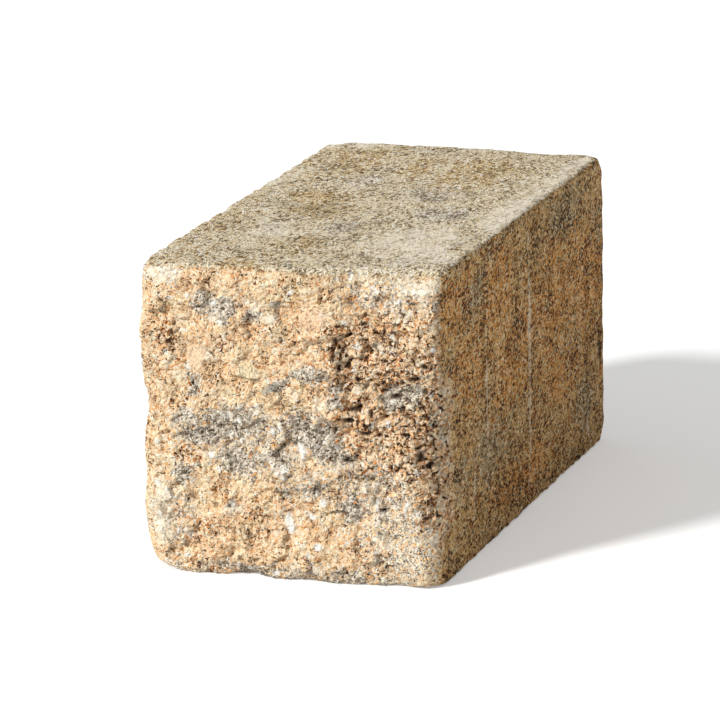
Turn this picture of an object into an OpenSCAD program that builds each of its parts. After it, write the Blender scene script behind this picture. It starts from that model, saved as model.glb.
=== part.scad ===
// Split-face concrete wall block: one solid of dry-cast concrete.
// It stands on its bed with the broken face towards -Y and its back towards +Y.
// The origin is the middle of the bed, under the middle of the bounding box.

/* [Block] */
// Width of the block along X, from one moulded side to the other
block_w = 148; // [100:1:450]
// Depth of the block along Y, from the proudest point of the break to the back
block_d = 299; // [150:1:400]
// Height of one course along Z
block_h = 152; // [80:1:250]

/* [Moulded edges] */
// Radius of the vertical corners at the back
back_corner_r = 4; // [1:0.5:15]
// Radius of the vertical corners beside the split face
front_corner_r = 6; // [1:0.5:20]
// Radius of the edges round the top
top_edge_r = 2.5; // [0.5:0.5:8]
// Radius of the edges round the bed
bed_edge_r = 1.5; // [0.5:0.5:6]

/* [Split face] */
// Depth of the lumps and hollows of the break
break_depth = 10; // [2:0.5:20]
// Size of the largest lumps of the break
lump_size = 44; // [20:1:80]
// Width of the strip along the rim of the face that is worn back
rim_w = 10; // [4:0.5:25]
// How far the rim is worn back at its edge
rim_wear = 3; // [0.5:0.5:10]
// Size of the chunks that the break leaves standing
chunk_size = 9; // [6:0.5:25]
// How far one chunk stands out from the next
chunk_step = 1.6; // [0:0.1:4]
// Pitch of the facets that the break is made of
facet = 3.5; // [3:0.5:8]

/* [Ledge in the break] */
// How far the right-hand part of the break lies behind the rest
ledge_drop = 5; // [0:0.5:12]
// Width of that part, from the right-hand side of the block
ledge_w = 52; // [20:1:90]
// Width over which the face steps back at the ledge
ledge_step = 9; // [4:0.5:30]
// How far the line of the ledge wanders to either side
ledge_wander = 5; // [0:0.5:15]
// Height above the bed at which the ledge has run out
ledge_foot = 40; // [0:1:70]
// Height over which the ledge fades out above its foot
ledge_fade = 38; // [5:1:80]
// How much further the chunks stand out behind the ledge
ledge_rough = 0.6; // [0:0.1:4]

/* [Worn corner at the top right] */
// Reach of the wear along the top of the face
corner_reach = 34; // [5:1:60]
// Reach of the wear down the side of the face
corner_drop = 20; // [5:1:50]
// How far the corner is worn back
corner_wear = 6; // [1:0.5:12]

/* [Worn edge at the right] */
// Reach of the wear across the face
edge_reach = 13; // [4:1:30]
// Length of the worn stretch
edge_length = 100; // [20:1:140]
// Height of its middle above the bed
edge_mid = 52; // [20:1:120]
// How far the edge is worn back
edge_wear = 6; // [1:0.5:12]

/* [Chips along the foot and the left edge] */
// Length of a chip along its edge
chip_length = 26; // [5:1:50]
// Reach of a chip into the face
chip_reach = 7; // [4:0.5:20]
// Depth of a chip
chip_depth = 4; // [0.5:0.5:10]

/* [Hidden] */
$fn = 64;

// Colour of the tan concrete
concrete = [0.74, 0.61, 0.45];
// How far cutting shapes run past what they cut
past = 2;
// Places of the chips along the foot and up the left edge, as shares of the width and the height
foot_chips = [0.35, 0.56, 0.87];
left_chips = [0.32, 0.54, 0.86];

// Hollows at the edges as [distance from the left side, height, half width, half height, depth]
hollows = concat(
    [[block_w, block_h, corner_reach, corner_drop, corner_wear]],
    [[block_w, edge_mid, edge_reach, edge_length / 2, edge_wear]],
    [for (s = foot_chips) [s * block_w, 0, chip_length / 2, chip_reach, chip_depth]],
    [for (s = left_chips) [0, s * block_h, chip_reach, chip_length / 2, chip_depth]]
);

// A number from 0 to 1 that is fixed for each lattice point
function dice(i, j) = let (s = sin(i * 127.1 + j * 311.7) * 43758.5453) s - floor(s);

// Eases from 0 to 1 as t goes from 0 to 1
function ease(t) = let (c = min(1, max(0, t))) c * c * (3 - 2 * c);

function mix(a, b, t) = a + (b - a) * t;

// Smooth noise from 0 to 1, with one lattice point for each unit of x and z
function noise(x, z) =
    let (i = floor(x), j = floor(z), u = ease(x - i), v = ease(z - j))
    mix(mix(dice(i, j), dice(i + 1, j), u), mix(dice(i, j + 1), dice(i + 1, j + 1), u), v);

// Lumps of the break from 0 to 1: four sizes of noise, each half the size of the last
function lumps(x, z) =
    let (a = x / lump_size, b = z / lump_size)
    0.45 * noise(a, b) + 0.27 * noise(2 * a + 7, 2 * b + 3)
    + 0.17 * noise(4 * a + 13, 4 * b + 29) + 0.11 * noise(8 * a + 5, 8 * b + 17);

// Wear at a distance from an edge of the face: a parabola that ends at the strip's width
function worn(distance) = rim_wear * pow(max(0, 1 - max(0, distance) / rim_w), 2);

// How fully a place lies behind the ledge, from 0 to 1, fading out towards the ledge's foot
function behind_ledge(x, z) =
    let (line = block_w - ledge_w + ledge_wander * (2 * noise(z / lump_size * 2, 0.5) - 1))
    ease((x - line) / ledge_step) * ease((z - ledge_foot) / ledge_fade);

// The chunk that a place belongs to, as [distance squared, column, row, offset across, offset up] in chunk sizes:
// the nearest of the centres that are strewn one to each square
function nearest_chunk(x, z) =
    let (a = x / chunk_size, b = z / chunk_size,
         near = [for (i = [floor(a) - 1:floor(a) + 1]) for (j = [floor(b) - 1:floor(b) + 1])
             let (p = a - i - dice(i + 3, j + 11), q = b - j - dice(i + 19, j + 5)) [p * p + q * q, i, j, p, q]],
         least = min([for (c = near) c[0]]))
    [for (c = near) if (c[0] == least) c][0];

// Height of a chunk from about -1 to 1: a level of its own and a lean of its own
function chunk(x, z) =
    let (c = nearest_chunk(x, z), i = c[1], j = c[2])
    2 * dice(i + 7, j + 23) - 1 + (2 * dice(i + 29, j + 2) - 1) * c[3] + (2 * dice(i + 13, j + 31) - 1) * c[4];

// How far the chunks stand out: flat at the worn rim, more behind the ledge
function chunk_height(x, z) =
    (chunk_step + ledge_rough * behind_ledge(x, z)) * ease(min(x, block_w - x, z, block_h - z) / rim_w) * chunk(x, z);

// Depth of one hollow: a bowl round its centre
function bowl(x, z, hollow) =
    let (t = norm([(x - hollow[0]) / hollow[2], (z - hollow[1]) / hollow[3]]))
    hollow[4] * ease(1 - t);

// How far the break lies behind its own front, at a distance from the left side and a height
function setback(x, z) =
    break_depth * (1 - lumps(x, z))
    + worn(min(x, block_w - x)) + worn(min(z, block_h - z))
    + ledge_drop * behind_ledge(x, z) - chunk_height(x, z)
    + max([for (hollow = hollows) bowl(x, z, hollow)]);

// Grid lines of the break, from just outside one edge of the face to just outside the other
function grid_lines(length) =
    let (cells = ceil((length + 2 * past) / facet), pitch = (length + 2 * past) / cells)
    [for (k = [0:cells]) k * pitch - past];

// Rectangle with a radius at each corner, in the order low left, low right, high right, high left
module rounded_outline(size, radii) {
    difference() {
        square(size, center = true);
        for (k = [0:3]) {
            right = k == 1 || k == 2;
            high = k > 1;
            mirror([right ? 0 : 1, 0]) mirror([0, high ? 0 : 1])
                translate(size / 2 - [radii[k], radii[k]]) difference() {
                    square(radii[k] + past);
                    circle(radii[k]);
                }
        }
    }
}

// The block as it leaves the mould: its plan, its front view and its side view cut from one solid
module moulded_block() {
    plan_r = [front_corner_r, front_corner_r, back_corner_r, back_corner_r];
    upright_r = [bed_edge_r, bed_edge_r, top_edge_r, top_edge_r];
    translate([0, 0, block_h / 2]) intersection() {
        linear_extrude(block_h, center = true)
            rounded_outline([block_w, block_d], plan_r);
        rotate([90, 0, 0]) linear_extrude(block_d + 2 * past, center = true)
            rounded_outline([block_w, block_h], upright_r);
        rotate([90, 0, 90]) linear_extrude(block_w + 2 * past, center = true)
            rounded_outline([block_d, block_h], upright_r);
    }
}

// What the splitter breaks off: a slab whose back is the broken surface
module split_waste() {
    across = grid_lines(block_w);
    up = grid_lines(block_h);
    raw = [for (z = up) [for (x = across) setback(x, z)]];
    proudest = min([for (row = raw) min(row)]);
    n = len(across);
    m = len(up);
    front = -block_d / 2;
    broken = [for (j = [0:m - 1]) for (i = [0:n - 1])
        [across[i] - block_w / 2, front + raw[j][i] - proudest, up[j]]];
    // Each cell of the grid as two triangles
    break_faces = [for (j = [0:m - 2]) for (i = [0:n - 2]) let (a = j * n + i)
        each [[a, a + 1, a + n + 1], [a, a + n + 1, a + n]]];
    // The same grid pressed flat is the slab's front
    cover = [for (p = broken) [p[0], front - 2 * past, p[2]]];
    first = n * m;
    cover_faces = [for (f = break_faces) [f[2] + first, f[1] + first, f[0] + first]];
    // The outline of the grid in order, for the walls between the two
    rim = concat([for (i = [0:n - 2]) i], [for (j = [0:m - 2]) j * n + n - 1],
        [for (i = [n - 1:-1:1]) (m - 1) * n + i], [for (j = [m - 1:-1:1]) j * n]);
    walls = [for (k = [0:len(rim) - 1]) let (a = rim[k], b = rim[(k + 1) % len(rim)])
        [b, a, a + first, b + first]];
    polyhedron(concat(broken, cover), concat(break_faces, cover_faces, walls), convexity = 6);
}

module block() {
    color(concrete) difference() {
        moulded_block();
        split_waste();
    }
}

block();
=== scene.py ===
"""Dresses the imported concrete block: one closed skin with a split face, and the studio it stands in."""

import functools
import itertools
import logging
import math
from dataclasses import dataclass, field
from enum import Enum

import bpy
import numpy as np
from mathutils import Matrix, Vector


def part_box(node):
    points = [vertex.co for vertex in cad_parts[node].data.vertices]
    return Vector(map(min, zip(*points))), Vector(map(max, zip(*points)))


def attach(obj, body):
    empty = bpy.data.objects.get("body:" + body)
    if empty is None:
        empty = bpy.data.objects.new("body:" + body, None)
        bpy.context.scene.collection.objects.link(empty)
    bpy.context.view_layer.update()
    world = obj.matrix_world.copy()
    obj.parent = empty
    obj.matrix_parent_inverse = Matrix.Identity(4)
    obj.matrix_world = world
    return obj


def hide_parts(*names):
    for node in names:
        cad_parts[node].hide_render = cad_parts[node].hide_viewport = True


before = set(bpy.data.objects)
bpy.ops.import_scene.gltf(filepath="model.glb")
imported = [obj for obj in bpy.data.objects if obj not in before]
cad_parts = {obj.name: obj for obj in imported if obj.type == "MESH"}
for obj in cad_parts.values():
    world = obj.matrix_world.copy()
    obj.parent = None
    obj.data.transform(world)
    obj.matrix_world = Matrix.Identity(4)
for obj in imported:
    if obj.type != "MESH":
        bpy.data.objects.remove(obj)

MM = 0.001
QUARTER = math.pi / 2
Array = np.ndarray
Pair = tuple[float, float]
Triple = tuple[float, float, float]
Blend = tuple[tuple[float, Triple], ...]
Socket = bpy.types.NodeSocket
log = logging.getLogger("block")


class Weight(Enum):
    """Weights from 0 to 1 that the skin carries for its finish."""

    SPLIT = "split"
    TOP = "top"
    PALE = "pale"
    CHARCOAL = "charcoal"
    RUST = "rust"
    # Painted shade: pits, gaps, crevices and the right side's crack are darkened where their shade falls. It
    # also carries the top's darker places.
    PIT_SHADE_AND_DARK_TOP = "pit_shade_and_dark_top"
    # Painted shade: the break's low and sunk places are tinted warmer and darker where their shade falls.
    HOLLOW_SHADE = "hollow"


class Stone(Enum):
    """Kinds of stone that show in the break: their colours, and how fully each covers the grains round it."""

    WHITE = (0.97, 0.95, 0.87, 0.95)
    CREAM = (0.90, 0.79, 0.60, 0.80)
    YELLOW = (1.0, 0.85, 0.53, 0.60)
    PINK = (0.96, 0.67, 0.43, 0.60)
    SLATE = (0.38, 0.35, 0.29, 0.70)


@dataclass(frozen=True)
class Grains:
    """Cellular noise at some points.

    Attributes:
        near: Distance of the nearest grain's centre, in grain sizes.
        second: Distance of the second nearest one.
        own: A number from 0 to 1 of the nearest grain's own.
        tilt: The way from that grain's centre, taken along a slope of its own.
    """

    near: Array
    second: Array
    own: Array
    tilt: Array

    def facets(self, slope: float) -> Array:
        """Height of broken facets from about -1 to 1: each grain at a level of its own, tilted by a slope."""
        return 2 * self.own - 1 + slope * self.tilt

    def gaps(self, width: float) -> Array:
        """1 midway between two grains, easing to 0 over a width."""
        return Noise.ease(1 - (self.second - self.near) / width)


class Noise:
    """Repeatable noise on whole arrays of points."""

    # Length, share and line of the long and the short wave along an edge.
    EDGE_WAVES = ((17.0, 0.6, 0.0), (6.0, 0.4, 3.3))
    # Brings gradient noise to about -1 to 1.
    GAIN = 1.6

    @staticmethod
    def ease(t: Array) -> Array:
        """Cubic step from 0 to 1 as t goes from 0 to 1, flat outside."""
        c = np.clip(t, 0.0, 1.0)
        return c * c * (3.0 - 2.0 * c)

    @staticmethod
    def dice(i: Array, j: Array) -> Array:
        """A fixed number from 0 to 1 for each lattice point, the same as the solid's."""
        s = np.sin(np.radians(i * 127.1 + j * 311.7)) * 43758.5453
        return s - np.floor(s)

    @classmethod
    def flat(cls, x: Array, z: Array) -> Array:
        """Smooth noise from 0 to 1 on a plane: lattice numbers eased across each unit square.

        Args:
            x: First coordinate, in lattice units.
            z: Second coordinate, in lattice units.

        Returns:
            The noise at each point.
        """
        i, j = np.floor(x), np.floor(z)
        u, v = cls.ease(x - i), cls.ease(z - j)
        low = cls.dice(i, j) * (1 - u) + cls.dice(i + 1, j) * u
        high = cls.dice(i, j + 1) * (1 - u) + cls.dice(i + 1, j + 1) * u
        return low * (1 - v) + high * v

    @classmethod
    def wander(cls, along: Array, row: float) -> Array:
        """Noise from 0 to 1 along an edge: the sum of a long wave and a short one."""
        line = np.full_like(along, row)
        return sum(share * cls.flat(along / length, line + k) for length, share, k in cls.EDGE_WAVES)

    @staticmethod
    def hashed(cells: Array, seed: int) -> Array:
        """A fixed number from 0 to 1 for each cell of a space lattice, by mixing its whole numbers.

        Args:
            cells: Whole-number cells, one row of three for each point.
            seed: Picks one of many such lattices.

        Returns:
            One number for each row.
        """
        mixed = cells[:, 0] * 73856093 ^ cells[:, 1] * 19349663 ^ cells[:, 2] * 83492791 ^ seed * 2654435761
        mixed = (mixed & 0xFFFFFFFF).astype(np.uint32)
        for shift, factor in ((16, 0x7FEB352D), (15, 0x846CA68B)):
            mixed ^= mixed >> np.uint32(shift)
            mixed *= np.uint32(factor)
        mixed ^= mixed >> np.uint32(16)
        return mixed / 2.0**32

    @classmethod
    def waves(cls, points: Array, size: float, seed: int) -> Array:
        """Gradient noise from about -1 to 1: slopes at the lattice points, eased across each cube.

        Args:
            points: Points in millimetres, one row each.
            size: Lattice spacing in millimetres.
            seed: Picks the pattern.

        Returns:
            The noise at each point.
        """
        at = points / size
        cell = np.floor(at).astype(np.int64)
        part = at - cell
        blend = part**3 * (part * (part * 6 - 15) + 10)
        total = np.zeros(len(points))
        for corner in itertools.product((0, 1), repeat=3):
            away = part - corner
            lean = sum(away[:, a] * (2 * cls.hashed(cell + corner, seed + a) - 1) for a in range(3))
            total += np.prod(np.where(corner, blend, 1 - blend), axis=1) * lean
        return cls.GAIN * total

    @classmethod
    def fractal(cls, points: Array, size: float, octaves: int, seed: int) -> Array:
        """Sum of waves, each octave half the size and half the height of the last."""
        return sum(cls.waves(points, size / 2**k, seed + 7 * k) / 2**k for k in range(octaves))

    @classmethod
    def grains(cls, points: Array, size: float, seed: int) -> Grains:
        """Cellular noise: one random centre in each cube of space, and the two nearest to each point.

        Args:
            points: Points in millimetres, one row each.
            size: Side of the cubes in millimetres.
            seed: Picks the pattern.

        Returns:
            The grains.
        """
        at = points / size
        home = np.floor(at).astype(np.int64)
        near = np.full(len(points), np.inf)
        second = near.copy()
        nearest = np.zeros_like(home)
        offset = np.zeros_like(at)
        for step in itertools.product((-1, 0, 1), repeat=3):
            cell = home + step
            away = at - cell - np.stack([cls.hashed(cell, seed + a) for a in range(3)], axis=1)
            gap = np.linalg.norm(away, axis=1)
            closer = gap < near
            second = np.where(closer, near, np.minimum(second, gap))
            near = np.minimum(near, gap)
            nearest[closer], offset[closer] = cell[closer], away[closer]
        slope = 2 * np.stack([cls.hashed(nearest, seed + 4 + a) for a in range(3)], axis=1) - 1
        return Grains(near, second, cls.hashed(nearest, seed + 3), (slope * offset).sum(axis=1))


@dataclass(frozen=True)
class Spot:
    """An oval place on a face, in millimetres from two of its edges, turned in degrees."""

    x: float
    z: float
    half_w: float
    half_h: float
    turn: float = 0.0

    def reach(self, x: Array, z: Array) -> Array:
        """Distance from the middle of the spot as a share of its radius, 1 on its outline.

        Args:
            x: First coordinate on the face.
            z: Second coordinate on the face.

        Returns:
            The distance of each point.
        """
        c, s = math.cos(math.radians(self.turn)), math.sin(math.radians(self.turn))
        dx, dz = x - self.x, z - self.z
        return np.hypot((c * dx + s * dz) / self.half_w, (c * dz - s * dx) / self.half_h)

    def weight(self, x: Array, z: Array, soft: float) -> Array:
        """1 inside the spot, easing to 0 across its outline over a share of its radius."""
        return Noise.ease((1 + soft / 2 - self.reach(x, z)) / soft)


@dataclass(frozen=True)
class Patches:
    """Places on one face that share a trait.

    Attributes:
        strength: The weight inside them.
        soft: Width of their outlines as a share of their radius.
        spots: The places.
    """

    strength: float
    soft: float
    spots: list[Spot]

    def at(self, x: Array, z: Array) -> Array:
        """The strongest weight of any spot at each point."""
        return self.strength * np.max([spot.weight(x, z, self.soft) for spot in self.spots], axis=0)


@dataclass(frozen=True)
class Wear:
    """A worn-off place: a ball's middle and radius in millimetres, and how deep the wear goes there."""

    middle: Triple
    radius: float
    depth: float

    def drop(self, points: Array) -> Array:
        """Depth of the wear at each point, easing to 0 at the ball's surface."""
        return self.depth * Noise.ease(1 - np.linalg.norm(points - self.middle, axis=1) / self.radius)


# Places on the split face: from its left side and from the bed.
CHARCOAL_FACE = Patches(0.95, 1.0, [
    Spot(32, 134.1, 4, 5), Spot(41, 132, 9, 7, -15), Spot(59, 129.8, 5, 3), Spot(86, 101.4, 10, 4),
    Spot(70, 95.6, 7, 3.5, 35), Spot(28, 93.2, 4, 6), Spot(24, 76.2, 8, 6), Spot(48, 76.9, 18, 8),
    Spot(32, 69.1, 14, 6), Spot(85, 74.4, 16, 9, -8), Spot(94, 66.3, 9, 8), Spot(68, 58.6, 10, 6),
    Spot(50, 57.9, 13, 8, -10), Spot(22, 50.3, 6, 5), Spot(72, 43.6, 3, 3), Spot(88, 44.4, 3, 3),
    Spot(104, 62.1, 6, 4), Spot(121, 38, 5, 4), Spot(105, 38.1, 7, 8), Spot(139, 94, 10, 6),
    Spot(127, 92, 8, 7), Spot(97, 93.2, 4, 7), Spot(53, 4.3, 10, 4), Spot(107, 3.1, 6, 3),
])
GREYED_FACE = Patches(0.58, 1.2, [
    Spot(126, 38, 24, 14), Spot(15, 29.4, 12, 18), Spot(130, 15, 20, 14), Spot(112, 52, 20, 10),
    Spot(86, 47.4, 14, 8), Spot(58, 70.8, 42, 12), Spot(124, 141, 26, 9), Spot(84, 3, 70, 7),
    Spot(128, 22, 24, 20), Spot(10, 147, 14, 7),
])
RUST_FACE = Patches(0.85, 1.0, [
    Spot(104, 112.1, 10, 17), Spot(124, 114, 24, 18), Spot(130, 72, 24, 18), Spot(110, 84.1, 10, 10),
    Spot(140, 63, 6, 9), Spot(24, 58.2, 6, 4), Spot(32, 24.1, 6, 5), Spot(26, 7.2, 8, 4),
    Spot(15, 115.4, 6, 7), Spot(55, 33.8, 6, 4), Spot(43, 114, 4, 5), Spot(62, 22.7, 4, 4),
    Spot(28, 96.2, 4, 5),
])
PALE_FACE = Patches(0.9, 0.9, [
    Spot(13, 147, 9, 6), Spot(138, 147, 11, 5), Spot(112, 149, 16, 3), Spot(57, 134.8, 6, 2.6, -14),
    Spot(68, 128.6, 4, 3), Spot(33, 108.1, 6, 7), Spot(10, 31.4, 6, 22), Spot(90, 87.3, 4, 5),
    Spot(46, 33.9, 6, 4), Spot(120, 23, 6, 4), Spot(82, 63.5, 3, 7), Spot(35, 60.1, 4, 3),
])
CALM_FACE = Patches(1.0, 0.7, [
    Spot(8, 145, 11, 8), Spot(133, 148, 18, 8), Spot(4, 28, 7, 26), Spot(136, 16, 15, 16),
    Spot(150, 20, 8, 16),
])
ROUGH_FACE = Patches(1.0, 0.8, [
    Spot(124, 112, 26, 24), Spot(126, 72, 26, 24), Spot(98, 108, 6, 24), Spot(146, 68, 12, 34),
])
# Crevices are carved into the relief and also painted black as their shade.
CREVICES = Patches(1.0, 0.9, [
    Spot(98, 119, 0.9, 3.0), Spot(97, 112, 1.0, 3.2), Spot(99.5, 105, 0.8, 2.2), Spot(104, 122, 1.8, 0.8, 25),
    Spot(112.5, 127, 1.7, 0.8, 20), Spot(112, 119, 1.6, 0.8), Spot(118, 123, 1.8, 0.8, -35),
    Spot(108, 101, 1.6, 1.0), Spot(141, 108, 1.6, 1.1), Spot(137, 103, 2.1, 1.4), Spot(123, 110, 1.6, 0.8),
    Spot(109, 89, 1.0, 2.0), Spot(107, 86, 3.2, 1.4), Spot(114, 84, 1.0, 2.0), Spot(121, 95, 1.6, 1.0),
    Spot(127, 93, 3.0, 1.5, 15), Spot(130, 87, 1.6, 1.3), Spot(134, 91, 1.8, 0.9, -30),
    Spot(103, 80, 2.8, 0.8), Spot(111, 75, 2.6, 1.0), Spot(119, 74, 1.8, 0.8), Spot(132, 75, 2.1, 0.8),
    Spot(139, 65, 1.4, 2.6), Spot(142, 60, 1.6, 1.4), Spot(103, 61, 2.8, 0.8), Spot(121, 38, 1.4, 1.2),
    Spot(140, 89, 2.1, 0.7, 12),
])
STONES = [
    (Stone.WHITE, Spot(38.8, 134.3, 1.6, 1.1)), (Stone.WHITE, Spot(25.7, 137.5, 1.1, 0.9)),
    (Stone.CREAM, Spot(67.8, 129.2, 2.8, 2.4)), (Stone.WHITE, Spot(76.9, 140.5, 1.4, 0.9)),
    (Stone.WHITE, Spot(50.2, 77.8, 0.9, 1.1)), (Stone.WHITE, Spot(36.0, 60.0, 1.6, 1.7)),
    (Stone.WHITE, Spot(75.0, 28.5, 1.9, 5.6, 8)), (Stone.WHITE, Spot(85.0, 32.5, 2.4, 1.4, -20)),
    (Stone.WHITE, Spot(89.0, 18.0, 2.7, 1.6, 10)), (Stone.WHITE, Spot(84.0, 13.5, 1.4, 1.8)),
    (Stone.WHITE, Spot(91.0, 40.0, 1.8, 1.6)), (Stone.CREAM, Spot(13.5, 17.0, 1.7, 2.2)),
    (Stone.CREAM, Spot(99.0, 58.0, 1.5, 3.4, 15)), (Stone.WHITE, Spot(81.0, 65.0, 1.2, 4.6, 12)),
    (Stone.WHITE, Spot(142.5, 80.1, 0.9, 2.7)), (Stone.WHITE, Spot(142.3, 41.6, 1.1, 3.3)),
    (Stone.WHITE, Spot(132.3, 40.3, 0.9, 3.8)), (Stone.WHITE, Spot(117.6, 40.2, 0.9, 2.7)),
    (Stone.CREAM, Spot(133.1, 132.4, 2.5, 2.4)), (Stone.CREAM, Spot(118.9, 117.1, 3.2, 2.0)),
    (Stone.CREAM, Spot(107.5, 95.1, 2.3, 2.2)), (Stone.WHITE, Spot(46.0, 37.1, 1.5, 2.5)),
    (Stone.WHITE, Spot(66.6, 74.1, 1.0, 2.0)), (Stone.PINK, Spot(88.0, 130.0, 7.5, 6.0)),
    (Stone.PINK, Spot(29.0, 107.0, 5.4, 6.4)), (Stone.YELLOW, Spot(54.0, 102.0, 4.6, 5.0)),
    (Stone.SLATE, Spot(69.5, 135.0, 3.0, 2.0)), (Stone.SLATE, Spot(66.0, 94.5, 5.0, 1.8, 35)),
]

# Places on the top: from the left side and from the front.
PALE_TOP = Patches(0.75, 1.1, [
    Spot(41, 87, 14, 16), Spot(116, 78, 24, 36), Spot(130, 46, 20, 18), Spot(14, 175, 6, 12),
    Spot(7, 205, 8, 30), Spot(142, 235, 6, 60), Spot(141, 150, 8, 40), Spot(18, 290, 16, 8),
])
CHARCOAL_TOP = Patches(0.7, 1.2, [
    Spot(108, 138, 14, 16), Spot(72, 100, 8, 20), Spot(92, 180, 16, 20), Spot(52, 290, 5, 10),
    Spot(50, 205, 8, 12),
])
RUST_TOP = Patches(0.85, 1.2, [
    Spot(48, 134, 17, 17), Spot(38, 160, 20, 14), Spot(30, 252, 16, 30), Spot(98, 232, 18, 40),
    Spot(66, 240, 8, 26), Spot(48, 14, 10, 16), Spot(66, 62, 7, 12),
])
GOLD_TOP = Patches(0.4, 1.3, [
    Spot(8, 80, 14, 80), Spot(18, 34, 18, 28), Spot(20, 240, 22, 50), Spot(60, 45, 14, 24),
])
DARK_TOP = Patches(0.25, 1.2, [Spot(48, 134, 15, 14), Spot(27, 142, 10, 8)])

# Places on the right side: from the front and from the bed.
CHARCOAL_SIDE = Patches(0.55, 1.3, [
    Spot(68, 131, 14, 9), Spot(230, 138, 28, 12), Spot(90, 50, 26, 13), Spot(45, 45, 14, 10),
    Spot(258, 30, 16, 10),
])
# The side's crack is painted black as its shade.
CRACK_SIDE = Patches(1.0, 0.8, [Spot(289, 50, 1.6, 10)])
RUST_SIDE = Patches(0.5, 1.2, [
    Spot(289, 50, 7, 16), Spot(28, 132, 32, 14), Spot(108, 122, 24, 26), Spot(206, 92, 38, 34),
    Spot(272, 92, 30, 32), Spot(132, 80, 30, 22), Spot(215, 55, 36, 14), Spot(60, 96, 28, 18),
    Spot(150, 20, 60, 10),
])
PALE_SIDE = Patches(0.95, 1.3, [
    Spot(159, 76, 2.2, 72), Spot(86, 72, 1.3, 44), Spot(265, 17, 1.8, 8), Spot(64, 30, 1.6, 20),
])

# Worn places of the whole block, in the solid's own coordinates.
WORN = [
    Wear((-74, -147, 152), 24, 2.6), Wear((-74, -147, 128), 7, 2.2), Wear((-74, -147, 80), 24, 1.6),
    Wear((-74, -147, 50), 7, 2.6), Wear((-74, -147, 0), 26, 5.0), Wear((74, 149, 152), 12, 2.5),
    Wear((74, 149, 0), 10, 2.0), Wear((74, -147, 0), 18, 3.0), Wear((-74, 149, 152), 14, 2.2),
    Wear((44, 149, 152), 32, 1.3),
]


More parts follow.
